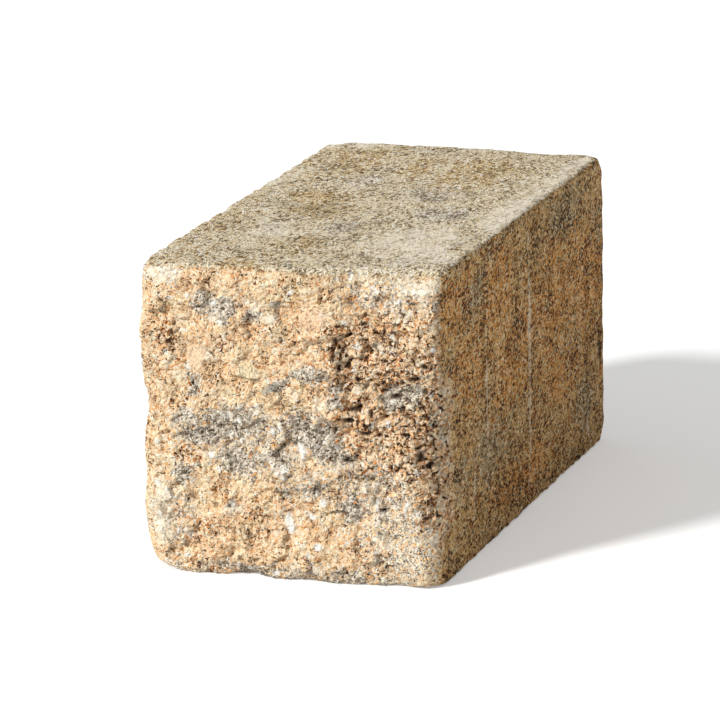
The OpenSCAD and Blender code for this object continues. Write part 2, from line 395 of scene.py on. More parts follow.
@dataclass
class SplitFace:
    """The broken face in coarse form, with the solid's own sizes in millimetres."""

    width: float
    height: float
    break_depth: float = 10.0
    lump_size: float = 44.0
    rim_w: float = 10.0
    rim_wear: float = 3.0
    chunk_size: float = 9.0
    chunk_step: float = 1.6
    chunk_ragged: float = 1.8
    chunk_frays: Pair = (4.5, 2.0)
    ledge_drop: float = 5.0
    ledge_w: float = 52.0
    ledge_step: float = 9.0
    ledge_wander: float = 5.0
    ledge_foot: float = 40.0
    ledge_fade: float = 38.0
    ledge_rough: float = 0.6
    corner_reach: float = 34.0
    corner_drop: float = 20.0
    corner_wear: float = 6.0
    edge_reach: float = 13.0
    edge_length: float = 100.0
    edge_mid: float = 52.0
    edge_wear: float = 6.0
    chip_length: float = 26.0
    chip_reach: float = 7.0
    chip_depth: float = 4.0
    foot_chips: Triple = (0.35, 0.56, 0.87)
    left_chips: Triple = (0.32, 0.54, 0.86)

    def lumps(self, x: Array, z: Array) -> Array:
        """Lumps from 0 to 1: four sizes of flat noise, each half the size of the last."""
        a, b = x / self.lump_size, z / self.lump_size
        return (
            0.45 * Noise.flat(a, b)
            + 0.27 * Noise.flat(2 * a + 7, 2 * b + 3)
            + 0.17 * Noise.flat(4 * a + 13, 4 * b + 29)
            + 0.11 * Noise.flat(8 * a + 5, 8 * b + 17)
        )

    def worn(self, distance: Array) -> Array:
        """Wear near an edge: a parabola of the distance from it."""
        return self.rim_wear * np.maximum(0, 1 - np.maximum(0, distance) / self.rim_w) ** 2

    def behind_ledge(self, x: Array, z: Array) -> Array:
        """How fully a place lies behind the ledge: easing in across its line and out towards its foot.

        Args:
            x: Distance from the left side.
            z: Height above the bed.

        Returns:
            A weight from 0 to 1 for each place.
        """
        wander = self.ledge_wander * (2 * Noise.flat(z / self.lump_size * 2, np.full_like(z, 0.5)) - 1)
        line = self.width - self.ledge_w + wander
        return Noise.ease((x - line) / self.ledge_step) * Noise.ease((z - self.ledge_foot) / self.ledge_fade)

    def frayed(self, x: Array, z: Array, row: int) -> Array:
        """Noise from -0.75 to 0.75 that makes the chunks' outlines ragged.

        Args:
            x: Distance from the left side.
            z: Height above the bed.
            row: Picks the pattern.

        Returns:
            The sum of coarse noise and half as much fine noise at each place.
        """
        coarse, fine = self.chunk_frays
        rough = Noise.flat(x / coarse + row, z / coarse - row)
        return rough + 0.5 * Noise.flat(x / fine - row, z / fine + row) - 0.75

    def chunk(self, x: Array, z: Array) -> Array:
        """Height of the chunks from about -1 to 1: each has a level and a lean of its own.

        A place belongs to the nearest of the centres that are strewn one to each square of a lattice. Fine
        noise shifts the places first, so the chunks' outlines are ragged. The dice are the solid's own.

        Args:
            x: Distance from the left side.
            z: Height above the bed.

        Returns:
            One height for each place.
        """
        a = (x + self.chunk_ragged * self.frayed(x, z, 9)) / self.chunk_size
        b = (z + self.chunk_ragged * self.frayed(x, z, 31)) / self.chunk_size
        nearest = np.full(x.shape, np.inf)
        height = np.zeros(x.shape)
        for across, up in itertools.product((-1, 0, 1), repeat=2):
            i, j = np.floor(a) + across, np.floor(b) + up
            p, q = a - i - Noise.dice(i + 3, j + 11), b - j - Noise.dice(i + 19, j + 5)
            lean = (2 * Noise.dice(i + 29, j + 2) - 1) * p + (2 * Noise.dice(i + 13, j + 31) - 1) * q
            gap = np.hypot(p, q)
            height = np.where(gap < nearest, 2 * Noise.dice(i + 7, j + 23) - 1 + lean, height)
            nearest = np.minimum(nearest, gap)
        return height

    def hollows(self, x: Array, z: Array) -> Array:
        """The deepest of the bowls at the corner, the right edge and the chips.

        Args:
            x: Distance from the left side.
            z: Height above the bed.

        Returns:
            One depth for each place.
        """
        w, h, along = self.width, self.height, self.chip_length / 2
        bowls = [(Spot(w, h, self.corner_reach, self.corner_drop), self.corner_wear)]
        bowls += [(Spot(w, self.edge_mid, self.edge_reach, self.edge_length / 2), self.edge_wear)]
        bowls += [(Spot(s * w, 0, along, self.chip_reach), self.chip_depth) for s in self.foot_chips]
        bowls += [(Spot(0, s * h, self.chip_reach, along), self.chip_depth) for s in self.left_chips]
        return np.max([deep * Noise.ease(1 - spot.reach(x, z)) for spot, deep in bowls], axis=0)

    def setback(self, x: Array, z: Array) -> Array:
        """How far the break lies behind its own front.

        It is the sum of lumps, worn rim, ledge and hollows, less the chunks, which are flat at the rim and in
        the calm places.

        Args:
            x: Distance from the left side.
            z: Height above the bed.

        Returns:
            One depth for each place.
        """
        from_side, from_bed = np.minimum(x, self.width - x), np.minimum(z, self.height - z)
        behind = self.behind_ledge(x, z)
        inside = Noise.ease(np.minimum(from_side, from_bed) / self.rim_w)
        step = (self.chunk_step + self.ledge_rough * behind) * inside
        step *= 1 - CALM_FACE.at(x, z)
        deep = self.break_depth * (1 - self.lumps(x, z)) + self.worn(from_side) + self.worn(from_bed)
        return deep + self.ledge_drop * behind - step * self.chunk(x, z) + self.hollows(x, z)


@dataclass(frozen=True)
class Hump:
    """A stretch of an edge that is worn most: the extra radius, its middle and half its length."""

    height: float
    middle: float
    half: float

    def at(self, along: Array) -> Array:
        """The extra radius along the edge: a smooth hump, 0 from half its length out."""
        return self.height * Noise.ease(1 - np.abs(along - self.middle) / self.half)


@dataclass(frozen=True)
class WornEdge:
    """An edge of the split face, in millimetres.

    Attributes:
        base: Its least radius.
        wander: How much larger the radius may be as it wanders.
        row: Picks the noise of that wander.
        humps: Stretches where it is worn most.
    """

    base: float
    wander: float
    row: float
    humps: tuple[Hump, ...] = ()

    def radius(self, along: Array) -> Array:
        """The radius along the edge: the base, the wander and the humps added up."""
        even = self.base + self.wander * Noise.wander(along, self.row)
        return sum((hump.at(along) for hump in self.humps), start=even)


@dataclass
class Skin:
    """Points of the skin with the way each one faces, and its faces."""

    points: list[Array] = field(default_factory=list)
    outward: list[Array] = field(default_factory=list)
    quads: list[Array] = field(default_factory=list)
    triangles: list[Array] = field(default_factory=list)
    count: int = 0

    def add(self, points: Array, outward: Array) -> Array:
        """Adds points.

        Args:
            points: A grid or a row of points.
            outward: The way each of them faces, or one way for all.

        Returns:
            Their numbers, in the shape of the grid.
        """
        shape = points.shape[:-1]
        self.points.append(points.reshape(-1, 3))
        self.outward.append(np.broadcast_to(outward, points.shape).reshape(-1, 3))
        numbers = self.count + np.arange(int(np.prod(shape))).reshape(shape)
        self.count += numbers.size
        return numbers

    def grid(self, numbers: Array, flip: bool) -> None:
        """Fills a grid of points with quads.

        Args:
            numbers: Numbers of the grid's points.
            flip: Whether the quads face back.
        """
        a, b = numbers[:-1, :-1].ravel(), numbers[:-1, 1:].ravel()
        c, d = numbers[1:, 1:].ravel(), numbers[1:, :-1].ravel()
        self.quads.append(np.stack((a, d, c, b) if flip else (a, b, c, d), axis=1))

    def band(self, near: Array, far: Array) -> None:
        """Joins two closed rings of as many points with quads."""
        self.quads.append(np.stack((near, far, np.roll(far, -1), np.roll(near, -1)), axis=1))

    def zipper(self, near: Array, near_at: Array, far: Array, far_at: Array, round_trip: float) -> None:
        """Joins two closed rings of different counts with triangles.

        The zip steps along whichever ring's next step has its middle first, so each step of either ring gets
        one triangle.

        Args:
            near: Numbers of the first ring's points.
            near_at: How far round the outline each of them lies, from 0 up.
            far: Numbers of the second ring's points.
            far_at: How far round the outline each of them lies, from 0 up.
            round_trip: Length of the whole outline.
        """
        middles = [(at + np.append(at[1:], round_trip)) / 2 for at in (near_at, far_at)]
        order = np.argsort(np.concatenate(middles), kind="stable")
        on_near = order < len(near)
        i = np.cumsum(on_near) - on_near
        j = np.cumsum(~on_near) - ~on_near
        here, there = near[i % len(near)], far[j % len(far)]
        after = np.where(on_near, near[(i + 1) % len(near)], far[(j + 1) % len(far)])
        self.triangles.append(np.stack((here, there, after), axis=1))


@dataclass
class SplitBlock:
    """The concrete block as one closed skin, in millimetres: a fine split face and coarser moulded faces.

    The right edge of the face is broken off between two heights, and the top edge is worn most at its right.
    Each of their pairs is where the wear starts or ends and over what length it fades.
    """

    low: Array
    high: Array
    face_cells: tuple[int, int] = (244, 248)
    face_crowding: float = 0.15
    side_cells: tuple[int, int] = (48, 48)
    side_crowding: float = 0.72
    side_rows: int = 150
    side_start: float = 1.6
    top_edge_r: float = 2.5
    bed_edge_r: float = 2.0
    back_edge_r: float = 3.0
    back_rows: int = 3
    left_rim: WornEdge = WornEdge(1.4, 1.4, 11.5, (Hump(2.0, 80.0, 24.0), Hump(5.0, 0.0, 18.0)))
    right_rim: WornEdge = WornEdge(4.0, 1.4, 23.5)
    broken_r: float = 6.0
    broken_below: Pair = (108.0, 20.0)
    broken_above: Pair = (10.0, 24.0)
    broken_least: float = 0.6
    foot_rim: WornEdge = WornEdge(1.5, 1.8, 37.5, (Hump(4.0, 0.0, 20.0),))
    top_rim: WornEdge = WornEdge(1.6, 1.0, 41.5)
    top_extra_r: float = 2.0
    top_ends: Pair = (22.0, 12.0)
    top_worn_r: float = 5.0
    top_worn_from: Pair = (70.0, 34.0)

    def __post_init__(self) -> None:
        """Takes the overall sizes from the solid's box, and from them the section of the moulded faces."""
        self.width, _, self.height = (self.high - self.low).tolist()
        self.face = SplitFace(self.width, self.height)
        self.back_y = self.high[1] - self.back_edge_r
        s, t = np.meshgrid(*(self.shares(cells, self.side_crowding) for cells in self.side_cells))
        self.section_x, self.section_z = (s - 0.5) * self.width, t * self.height
        self.ring_x, self.ring_z = self.loop(self.section_x), self.loop(self.section_z)
        self.edge_x, self.edge_z = self.rounded(self.ring_x, self.ring_z)
        self.edge_out = self.section_normal(self.edge_x, self.edge_z)

    @staticmethod
    def shares(cells: int, crowding: float) -> Array:
        """Grid lines from 0 to 1, closer together towards both ends by mixing in a sine."""
        t = np.linspace(-1, 1, cells + 1)
        return 0.5 + 0.5 * ((1 - crowding) * t + crowding * np.sin(QUARTER * t))

    @staticmethod
    def across(share: Array, length: float, low_r: Array, high_r: Array) -> tuple[Array, Array, Array]:
        """Crosses the face from side to side, round a quarter turn at both ends.

        The share runs along the arc of the first turn, straight across and along the arc of the second, so
        the grid keeps its pitch round the rim.

        Args:
            share: How far along the way, from 0 to 1.
            length: Distance between the sides.
            low_r: Radius of the turn at the start.
            high_r: Radius of the turn at the end.

        Returns:
            Distance from the first side, depth behind the face, and how much the skin there leans to a side.
        """
        total = length + (QUARTER - 1) * (low_r + high_r)
        started = share < 0.5
        r = np.where(started, low_r, high_r)
        arc = np.where(started, share, 1 - share) * total
        angle = np.clip(arc / r, 0, QUARTER)
        inset = r * (1 - np.cos(angle)) + np.maximum(arc - r * QUARTER, 0)
        lean = np.where(started, -np.cos(angle), np.cos(angle))
        return np.where(started, inset, length - inset), r * (1 - np.sin(angle)), lean

    def rim(self, x: Array, z: Array) -> tuple[Array, Array, Array, Array]:
        """Radius of the worn edge round the face, at the left, right, foot and top.

        Args:
            x: Distance from the left side.
            z: Height above the bed.

        Returns:
            The four radii: each edge's own, more where the right one is broken off, and more along the top
            one between its ends and towards its right.
        """
        (upper, upper_fade), (lower, lower_fade) = self.broken_below, self.broken_above
        up = self.broken_least + (1 - self.broken_least) * Noise.ease((z - lower) / lower_fade)
        right = self.right_rim.radius(z) + self.broken_r * (Noise.ease((upper - z) / upper_fade) * up)
        ends = Noise.ease(x / self.top_ends[0]) * Noise.ease((self.width - x) / self.top_ends[1])
        worn = Noise.ease((x - self.top_worn_from[0]) / self.top_worn_from[1])
        top = self.top_rim.radius(x) + self.top_extra_r * ends + self.top_worn_r * worn
        return self.left_rim.radius(z), right, self.foot_rim.radius(x), top

    def rounded(self, x: Array, z: Array) -> tuple[Array, Array]:
        """Pulls the square corners of a section in to arcs, scaling each corner square to a quarter disc.

        Args:
            x: Distance from the middle of the section.
            z: Height above the bed.

        Returns:
            The moved coordinates.
        """
        half = self.width / 2
        upper = z > self.height / 2
        r = np.where(upper, self.top_edge_r, self.bed_edge_r)
        a = np.abs(x) - (half - r)
        b = np.where(upper, z - (self.height - r), r - z)
        corner = (a > 0) & (b > 0)
        pull = np.where(corner, np.maximum(a, b) / np.maximum(np.hypot(a, b), 1e-9), 1.0)
        new_x = np.where(corner, np.sign(x) * (half - r + a * pull), x)
        new_z = np.where(corner, np.where(upper, self.height - r + b * pull, r - b * pull), z)
        return new_x, new_z

    def section_normal(self, x: Array, z: Array) -> Array:
        """Outward direction in the section at points of its outline: straight out, or radial on a corner arc.

        Args:
            x: Distance from the middle of the section.
            z: Height above the bed.

        Returns:
            One unit row for each point.
        """
        half = self.width / 2
        upper = z > self.height / 2
        r = np.where(upper, self.top_edge_r, self.bed_edge_r)
        a = np.maximum(np.abs(x) - (half - r), 0) * np.sign(x)
        b = np.where(upper, np.maximum(z - (self.height - r), 0), -np.maximum(r - z, 0))
        out = np.stack((a, np.zeros_like(a), b), axis=-1)
        return out / np.maximum(np.linalg.norm(out, axis=-1, keepdims=True), 1e-9)

    @staticmethod
    def loop(grid: Array) -> Array:
        """The outline of a grid in order: along the foot, up the right, back along the top, down the left."""
        return np.concatenate((grid[0, :-1], grid[:-1, -1], grid[-1, :0:-1], grid[:0:-1, 0]))

    def round_way(self, x: Array, z: Array) -> Array:
        """How far round the square outline the points of a loop lie, from the foot's left end.

        Args:
            x: Distance from the middle of the section.
            z: Height above the bed.

        Returns:
            One length for each point.
        """
        w, h = self.width, self.height
        ways = x + w / 2, w + z, 2 * w + h - x - w / 2, 2 * (w + h) - z
        off_sides = np.abs(np.stack((z, w / 2 - x, h - z, x + w / 2)))
        way = np.choose(off_sides.argmin(axis=0), ways)
        way[0] = 0.0
        return way

    def lay_face(self, skin: Skin) -> tuple[Array, Array, Array]:
        """Lays the split face: a grid across and up, as deep as the coarse break plus the turns at its rim.

        Args:
            skin: The skin to add to.

        Returns:
            For each point of the face's outline, its number, how far round it lies and its y.
        """
        u, v = np.meshgrid(*(self.shares(cells, self.face_crowding) for cells in self.face_cells))
        left, right, foot, top = self.rim(u * self.width, v * self.height)
        from_left, side_drop, lean_x = self.across(u, self.width, left, right)
        square_z, level_drop, lean_z = self.across(v, self.height, foot, top)
        square_x = from_left - self.width / 2
        deep = self.face.setback(from_left, square_z)
        x, z = self.rounded(square_x, square_z)
        y = self.low[1] + deep - deep.min() + side_drop + level_drop
        ahead = -np.sqrt(np.clip((1 - lean_x**2) * (1 - lean_z**2), 0, 1))
        outward = np.stack((lean_x, ahead, lean_z), axis=-1)
        outward /= np.linalg.norm(outward, axis=-1, keepdims=True)
        numbers = skin.add(np.stack((x, y, z), axis=-1), outward)
        skin.grid(numbers, flip=False)
        way = self.round_way(self.loop(square_x), self.loop(square_z))
        return self.loop(numbers), way, self.loop(y)

    def lay_sides(self, skin: Skin, outline: Array, way: Array, outline_y: Array) -> Array:
        """Runs the moulded faces back in rows, from a ring that is zipped to the split face.

        Args:
            skin: The skin to add to.
            outline: Numbers of the points on the split face's outline.
            way: How far round each of them lies.
            outline_y: The y of each of them.

        Returns:
            Numbers of the last row's points.
        """
        ring_way = self.round_way(self.ring_x, self.ring_z)
        round_trip = 2 * (self.width + self.height)
        start = np.interp(ring_way, way, outline_y, period=round_trip) + self.side_start
        run = start + (self.back_y - start) * np.linspace(0, 1, self.side_rows)[:, None]
        x, z = (np.broadcast_to(edge, run.shape) for edge in (self.edge_x, self.edge_z))
        rows = skin.add(np.stack((x, run, z), axis=-1), self.edge_out)
        skin.zipper(outline, way, rows[0], ring_way, round_trip)
        for near, far in zip(rows[:-1], rows[1:]):
            skin.band(near, far)
        return rows[-1]

    def lay_back(self, skin: Skin, ring: Array) -> None:
        """Turns the moulded faces round the back edge and closes the skin with the back's grid.

        The turn shrinks the section by the cosine of its angle while it goes back by the sine.

        Args:
            skin: The skin to add to.
            ring: Numbers of the last row's points on the moulded faces.
        """
        r = self.back_edge_r
        shrink = np.array((1 - r / (self.width / 2), 1.0, 1 - 2 * r / self.height))
        centre = np.array((0.0, 0.0, self.height / 2))
        behind = np.array((0.0, 1.0, 0.0))
        outer = np.stack((self.edge_x, np.full_like(self.edge_x, self.back_y), self.edge_z), axis=-1)
        inner = (outer - centre) * shrink + centre
        for k in range(1, self.back_rows):
            angle = QUARTER * k / self.back_rows
            at = inner + (outer - inner) * math.cos(angle)
            at[:, 1] = self.back_y + r * math.sin(angle)
            turned = skin.add(at, math.cos(angle) * self.edge_out + math.sin(angle) * behind)
            skin.band(ring, turned)
            ring = turned
        x, z = self.rounded(self.section_x, self.section_z)
        back = (np.stack((x, np.zeros_like(x), z), axis=-1) - centre) * shrink + centre
        back[..., 1] = self.high[1]
        numbers = skin.add(back, behind)
        skin.band(ring, self.loop(numbers))
        skin.grid(numbers, flip=True)

    def shape(self) -> Skin:
        """Lays out the skin before its fine relief.

        Returns:
            The skin with its faces; the points of the split face's grid come first.
        """
        skin = Skin()
        outline, way, outline_y = self.lay_face(skin)
        self.lay_back(skin, self.lay_sides(skin, outline, way, outline_y))
        return skin


@dataclass
class BrokenConcrete:
    """Fine relief and weights of the skin: facets, grit and pits in the break, crumbled edges elsewhere.

    Lengths are in millimetres. Crumbs and grit are given by the size, height and slope of their facets, and a
    pair by where something starts or ends and over what length it fades. Clouds are given by their shares on
    the top, the right side and the other moulded faces; pale ones have none on the right side.
    """

    points: Array
    outward: Array
    low: Array
    high: Array
    warp_size: float = 6.0
    grain_warp: float = 1.2
    patch_warp: float = 2.4
    spot_warp: float = 1.3
    wrap_below: Pair = (110.0, 14.0)
    wrap_above: Pair = (20.0, 16.0)
    wrap_reach: Pair = (34.0, 10.0)
    wrap_wander: float = 8.0
    wrap_wave: float = 14.0
    wrap_lean: Pair = (0.0, 0.3)
    wrap_turn: float = 0.6
    lid_turn: float = 0.5
    split_lean: Pair = (0.10, 0.70)
    top_lean: Pair = (0.35, 0.4)
    side_lean: Pair = (0.5, 0.4)
    lump_size: float = 13.0
    crumb: Triple = (3.0, 0.48, 1.8)
    grit: Triple = (1.5, 0.44, 1.5)
    calm_share: float = 0.75
    even_share: float = 0.85
    rough_share: float = 0.45
    missing_share: float = 0.012
    missing_rough: float = 0.03
    missing_rim: float = 0.35
    gap_w: float = 0.30
    gap_from: float = 0.05
    gap_depth: float = 0.7
    pit_depth: float = 1.5
    crevice_depth: float = 2.2
    stone_soft: float = 0.4
    stone_rise: float = 0.5
    crumble: float = 1.1
    crumble_size: float = 6.5
    crumble_reach: float = 3.2
    low_reach: float = 12.0
    wave_depth: float = 0.25
    hollow_fine: float = 0.6
    cavity_depth: float = 1.2
    cavity_reach: int = 3
    cloud_size: float = 34.0
    tint_size: float = 40.0
    pale_clouds: Pair = (0.30, 0.4)
    pale_most: float = 0.95
    pale_lip: float = 0.15
    lip_reach: float = 25.0
    grey_clouds: Triple = (0.4, 0.3, 0.6)
    side_grey: float = 0.18
    rust_clouds: Triple = (0.25, 0.3, 0.6)
    side_rust: float = 0.15
    wrap_rust: float = 0.75
    seed: int = 20

    def __post_init__(self) -> None:
        """Works out the places and noises that every weight is made from."""
        waves = [Noise.waves(self.points, self.warp_size, self.seed + 40 + a) for a in range(3)]
        warp = np.stack(waves, axis=1)
        self.across, self.along, self.up = (self.points + self.patch_warp * warp - self.low).T
        self.wrap = self.wrapped()
        ahead = -self.outward[:, 1] - self.lid_turn * np.maximum(self.outward[:, 2], 0)
        self.split = self.leaning(ahead + self.wrap_turn * self.wrap, self.split_lean)
        self.calm = CALM_FACE.at(self.across, self.up) * self.split
        self.rough = ROUGH_FACE.at(self.across, self.up) * self.split
        x, _, z = (self.points - self.low + self.spot_warp * warp).T
        self.crevices = CREVICES.at(x, z) * self.split
        stones = np.stack([spot.weight(x, z, self.stone_soft) for _, spot in STONES])
        self.stones = stones * self.split * (1 - self.wrap)
        warped = self.points + self.grain_warp * warp
        self.crumbs = Noise.grains(warped, self.crumb[0], self.seed + 10)
        self.grits = Noise.grains(warped, self.grit[0], self.seed + 20)
        self.lumps = Noise.fractal(self.points, self.lump_size, 2, self.seed + 30)

    @staticmethod
    def leaning(lean: Array, ends: Pair) -> Array:
        """Eases from 0 to 1 as a lean goes on from a start over a length."""
        return Noise.ease((lean - ends[0]) / ends[1])

    def wrapped(self) -> Array:
        """How fully the break runs on round the right edge, which is broken off between two heights.

        Returns:
            A weight from 0 to 1 for each point.
        """
        (upper, upper_fade), (lower, lower_fade) = self.wrap_below, self.wrap_above
        broken_off = Noise.ease((upper - self.up) / upper_fade) * Noise.ease((self.up - lower) / lower_fade)
        wander = self.wrap_wander * Noise.waves(self.points, self.wrap_wave, self.seed + 50)
        back = Noise.ease((self.wrap_reach[0] + wander - self.along) / self.wrap_reach[1])
        return broken_off * back * self.leaning(self.outward[:, 0], self.wrap_lean)

    def broken(self) -> Array:
        """Height of the break's relief along each point's outward way; sets the weights of painted shade in
        its pits, gaps, crevices and low places too.

        Two sizes of tilted facets are added up, gaps run between the crumbs in places, some crumbs are
        missing, crevices are cut in, and stones lie over it as smoother places.

        Returns:
            One height for each point.
        """
        strength = (1 - self.calm_share * self.calm) * (self.even_share + self.rough_share * self.rough)
        lost = self.crumbs.own < self.missing_share + self.missing_rough * self.rough
        missing = lost * (1 - self.crumbs.gaps(self.missing_rim))
        gaps = self.crumbs.gaps(self.gap_w) * (self.lumps > self.gap_from)
        (_, crumb_h, crumb_slope), (_, grit_h, grit_slope) = self.crumb, self.grit
        height = crumb_h * self.crumbs.facets(crumb_slope) + grit_h * self.grits.facets(grit_slope)
        height = strength * (height - self.gap_depth * gaps - self.pit_depth * missing)
        height -= self.crevice_depth * self.crevices
        stone = self.stones.max(axis=0)
        # Painted shade: missing crumbs and gaps are darkened, and crevices fully, where their shade falls.
        # There is less of it in calm places and under stones.
        low = np.clip(missing**2 + 0.4 * gaps**2, 0, 1)
        low *= (0.6 + 0.2 * self.rough) * (1 - 0.8 * self.calm) * (1 - stone) * self.split
        self.pit_shade_and_dark_top = np.maximum(low, self.crevices)
        # Painted shade: low places of the fine relief are tinted darker.
        self.hollow = self.hollow_fine * Noise.ease(0.15 - height) * (1 - stone) * self.split
        return height * (1 - 0.6 * stone) + self.stone_rise * stone

    def shade_sunk_places(self, depth: Array) -> None:
        """Raises the painted shade where the break's grid lies deeper than the mean of the places round it.

        The mean is taken over a square, twice, as a sum of shifted copies along each side.

        Args:
            depth: Depth of the break's grid, up by across; its points come first in the skin.
        """
        mean, reach = depth, self.cavity_reach
        for axis in (0, 1, 0, 1):
            margins = [(reach, reach) if a == axis else (0, 0) for a in (0, 1)]
            padded = np.pad(mean, margins, mode="edge")
            steps = [np.arange(k, k + depth.shape[axis]) for k in range(2 * reach + 1)]
            mean = np.mean([np.take(padded, step, axis) for step in steps], axis=0)
        sunk = Noise.ease((depth - mean) / self.cavity_depth).ravel()
        first = slice(0, sunk.size)
        self.hollow[first] = np.maximum(self.hollow[first], sunk * self.split[first])

    def crumbled(self) -> Array:
        """Depth worn off the moulded faces: slight waves, and crumbs along their edges, fewer at the bed.

        The distance to the nearest edge is the second smallest of those to the sides, the beds and the back.

        Returns:
            One depth for each point.
        """
        x, y, z = self.points.T
        to_side = np.minimum(x - self.low[0], self.high[0] - x)
        to_bed = np.minimum(z - self.low[2], self.high[2] - z)
        edge = np.sort(np.stack((to_side, to_bed, self.high[1] - y)), axis=0)[1]
        near_edge = np.exp(-((edge / self.crumble_reach) ** 2))
        crumbs = Noise.fractal(self.points, self.crumble_size, 2, self.seed + 60)
        bites = np.clip(0.45 + 1.1 * crumbs, 0, 1.6)
        low_edge = 1 - 0.4 * Noise.ease(1 - (z - self.low[2]) / self.low_reach)
        return self.crumble * near_edge * bites * low_edge + self.wave_depth * np.clip(0.5 + self.lumps, 0, 1)

    def relief(self) -> Array:
        """Height of the whole relief along each point's outward way."""
        worn = sum(wear.drop(self.points) for wear in WORN)
        return self.split * self.broken() - (1 - self.split) * self.crumbled() - worn

    def weights(self) -> dict[Weight, Array]:
        """The finish's weights at every point.

        Each is the sum of what the break, the top, the right side and the other faces have of it: the places
        on that face, and on the moulded ones shares of two kinds of clouds.

        Returns:
            One array for each weight.
        """
        moulded = 1 - self.split
        top = self.leaning(self.outward[:, 2], self.top_lean) * moulded
        right = self.leaning(self.outward[:, 0], self.side_lean) * moulded
        other = np.clip(moulded - top - right, 0, 1)
        x, y, z = self.across, self.along, self.up
        cloud = Noise.ease(Noise.fractal(self.points, self.cloud_size, 3, self.seed + 70))
        drift = Noise.fractal(self.points, self.tint_size, 3, self.seed + 90)
        warm, bleak = Noise.ease(drift), Noise.ease(-drift)

        lip = self.pale_lip * Noise.ease(1.4 - y / self.lip_reach)
        pale_top = np.minimum(PALE_TOP.at(x, y) + self.pale_clouds[0] * bleak + lip, self.pale_most)
        pale = self.split * PALE_FACE.at(x, z) + top * pale_top
        pale += right * PALE_SIDE.at(y, z) + other * self.pale_clouds[1] * bleak
        on_top, on_side, on_other = self.grey_clouds
        grey = self.split * (np.maximum(CHARCOAL_FACE.at(x, z), GREYED_FACE.at(x, z)) * (1 - self.wrap))
        grey += top * (CHARCOAL_TOP.at(x, y) + on_top * cloud)
        grey += right * (self.side_grey + CHARCOAL_SIDE.at(y, z) + on_side * cloud) + other * on_other * cloud
        on_top, on_side, on_other = self.rust_clouds
        rust = self.split * np.maximum(RUST_FACE.at(x, z), self.wrap_rust * self.wrap)
        rust += top * (np.maximum(RUST_TOP.at(x, y), GOLD_TOP.at(x, y)) + on_top * warm)
        rust += right * (self.side_rust + RUST_SIDE.at(y, z) + on_side * warm) + other * on_other * warm
        # Painted shade of pits and crevices, plus the side's crack painted as shade, plus the top's darker
        # places.
        pit_shade_and_dark_top = self.pit_shade_and_dark_top + right * CRACK_SIDE.at(y, z) + top * DARK_TOP.at(x, y)
        return {
            Weight.SPLIT: self.split,
            Weight.TOP: top,
            Weight.PALE: pale,
            Weight.CHARCOAL: grey,
            Weight.RUST: rust,
            Weight.PIT_SHADE_AND_DARK_TOP: pit_shade_and_dark_top,
            Weight.HOLLOW_SHADE: self.hollow,
        }

    def stone_tint(self) -> Array:
        """Colour of the stone at every point.

        Returns:
            Four numbers for each point: the nearest stone's colour, and how much of it shows.
        """
        colours = np.array([stone.value for stone, _ in STONES])
        shown = colours[self.stones.argmax(axis=0)]
        shown[:, 3] *= self.stones.max(axis=0)
        return shown


